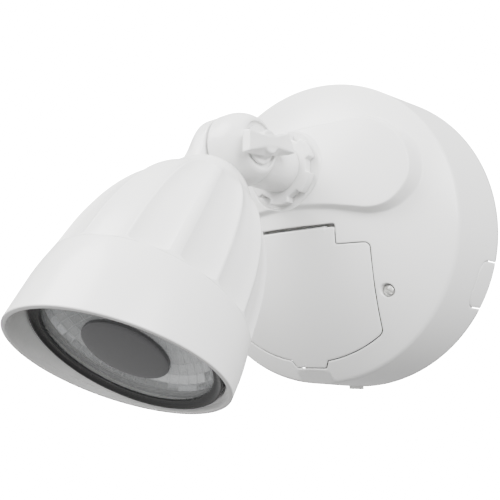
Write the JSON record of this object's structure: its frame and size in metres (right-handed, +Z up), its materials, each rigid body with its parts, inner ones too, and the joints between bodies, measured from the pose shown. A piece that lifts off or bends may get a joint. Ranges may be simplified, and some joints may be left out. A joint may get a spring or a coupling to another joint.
{
  "type": "outdoor wall floodlight",
  "caption": "Wall floodlight: ribbed bell-shaped LED head on a locking swivel-and-tilt arm, over a round base with a hinged access door.",
  "frame": {"origin": "centre of the round base's back face, on the wall plane", "axes": "+Y into the wall, so the lamp stands out towards -Y; +Z up; +X to the right as seen from the front"},
  "size_m": [0.16, 0.209, 0.1616],
  "materials": {
    "white_housing": "semi-gloss moulded",
    "white_inner": "satin",
    "black_rubber": "matte",
    "grey_nylon": "satin",
    "zinc_steel": "zinc plated",
    "green_screw": "dyed plating",
    "spreader_aluminium": "turned",
    "reflector_chrome": "vacuum metallised",
    "clear_lens": "clear polycarbonate",
    "smoked_cap": "smooth",
    "dark_retainer": "semi-gloss",
    "green_board": "solder mask",
    "white_board": "solder mask",
    "phosphor": "silicone",
    "black_component": "moulded",
    "transformer_tape": "tape",
    "copper_winding": "enamelled",
    "terminal_nylon": "satin"
  },
  "bodies": {
    "base": {"base_housing": "white_housing", "mounting_plate": "zinc_steel", "wall_gasket": "black_rubber", "cover_screw_left": "zinc_steel", "cover_screw_right": "zinc_steel", "knockout_left": "white_housing", "knockout_right": "white_housing", "ground_screw": "green_screw", "nut_washer": "black_rubber", "door_hinge_pin": "zinc_steel", "door_seal": "black_rubber", "control_tray": "white_inner", "control_board": "green_board", "brightness_switch_body": "black_component", "colour_switch_body": "black_component", "driver_case": "white_inner", "driver_board": "green_board", "driver_transformer": "transformer_tape", "driver_capacitor": "black_component", "driver_choke": "copper_winding", "terminal_block": "terminal_nylon"},
    "lock_nut": {"lock_nut": "white_housing"},
    "door": {"access_door": "white_housing"},
    "brightness_slider": {"brightness_slider": "white_inner"},
    "colour_slider": {"colour_slider": "white_inner"},
    "arm": {"arm_knuckle": "white_housing", "wire_bushing": "black_rubber", "knuckle_washer": "grey_nylon"},
    "wing_screw": {"wing_screw": "white_housing"},
    "head": {"head_housing": "white_housing", "hinge_nut": "zinc_steel", "front_shroud": "white_housing", "heat_spreader": "spreader_aluminium", "led_board": "white_board", "led_chip": "phosphor", "reflector": "reflector_chrome", "lens_gasket": "black_rubber", "lens": "clear_lens", "centre_cap": "smoked_cap", "lens_retainer": "dark_retainer"}
  },
  "joints": [
    {"name": "arm_swivel", "type": "hinge", "parent": "base", "child": "arm", "pos_m": [0, -0.08, 0.0272], "axis": [0, 1, 0], "range_deg": [-175, 175]},
    {"name": "head_tilt", "type": "hinge", "parent": "arm", "child": "head", "pos_m": [-0.00005, -0.1024, 0.0284], "axis": [0.999, 0, 0.0441], "range_deg": [-98, 36]},
    {"name": "wing_screw_turn", "type": "hinge", "parent": "arm", "child": "wing_screw", "pos_m": [-0.00005, -0.1024, 0.0284], "axis": [0.999, 0, 0.0441], "continuous": true},
    {"name": "lock_nut_turn", "type": "hinge", "parent": "base", "child": "lock_nut", "pos_m": [0, -0.0678, 0.0272], "axis": [0, 1, 0], "continuous": true},
    {"name": "door_hinge", "type": "hinge", "parent": "base", "child": "door", "pos_m": [0, -0.0612, -0.0039], "axis": [-1, 0, 0], "range_deg": [0, 45]},
    {"name": "brightness_slide", "type": "slide", "parent": "base", "child": "brightness_slider", "axis": [1, 0, 0], "range_m": [-0.003, 0.003]},
    {"name": "colour_slide", "type": "slide", "parent": "base", "child": "colour_slider", "axis": [1, 0, 0], "range_m": [-0.003, 0.003]}
  ]
}
